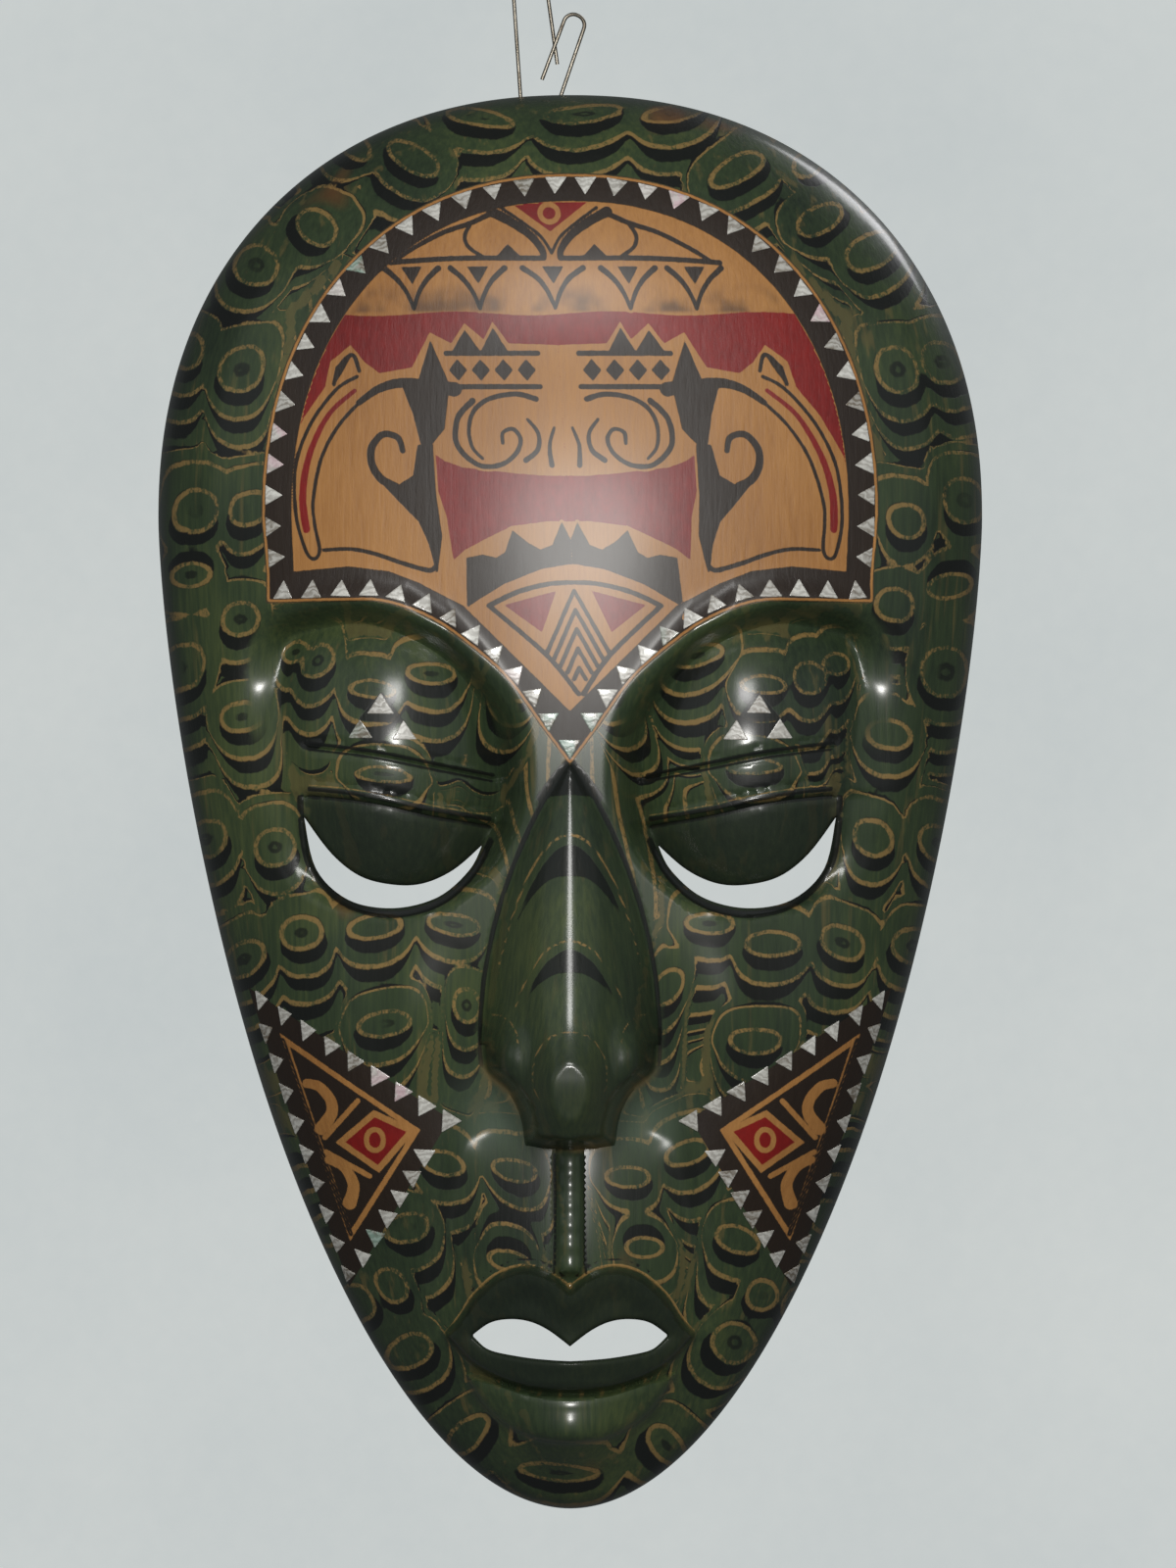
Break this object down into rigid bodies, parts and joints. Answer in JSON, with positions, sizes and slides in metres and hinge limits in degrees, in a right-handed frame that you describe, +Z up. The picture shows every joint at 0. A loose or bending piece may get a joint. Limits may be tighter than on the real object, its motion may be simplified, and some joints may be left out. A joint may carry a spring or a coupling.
{
  "type": "carved wooden mask",
  "caption": "Hollow carved wooden face mask with shell chip inlay round painted panels, hung by a bent wire clip that swings on a screw.",
  "frame": {"origin": "lowest point of the chin, on the flat back of the rim that rests on the wall", "axes": "+X to the viewer's right, +Y into the wall, +Z up; the face looks along -Y"},
  "size_m": [0.204, 0.0618, 0.3805],
  "materials": {
    "painted_wood": "stained, hand painted and varnished",
    "shell_chips": "polished mother-of-pearl",
    "screw_steel": "zinc plated",
    "clip_wire": "bright wire"
  },
  "bodies": {
    "mask": {"mask_body": "painted_wood", "forehead_arch_shells_left": "shell_chips", "brow_shells_left": "shell_chips", "eyelid_shell_top_left": "shell_chips", "eyelid_shell_inner_left": "shell_chips", "eyelid_shell_outer_left": "shell_chips", "cheek_upper_shells_left": "shell_chips", "cheek_inner_shells_left": "shell_chips", "cheek_outer_shells_left": "shell_chips", "forehead_arch_shells_right": "shell_chips", "brow_shells_right": "shell_chips", "eyelid_shell_top_right": "shell_chips", "eyelid_shell_inner_right": "shell_chips", "eyelid_shell_outer_right": "shell_chips", "cheek_upper_shells_right": "shell_chips", "cheek_inner_shells_right": "shell_chips", "cheek_outer_shells_right": "shell_chips", "brow_point_shell": "shell_chips", "hanger_screw": "screw_steel"},
    "hanger": {"paper_clip_hanger": "clip_wire"}
  },
  "joints": [
    {"name": "hanger_swing", "type": "hinge", "parent": "mask", "child": "hanger", "pos_m": [-0.0078, -0.002, 0.3454], "axis": [0, 1, 0], "range_deg": [-12, 12]}
  ]
}
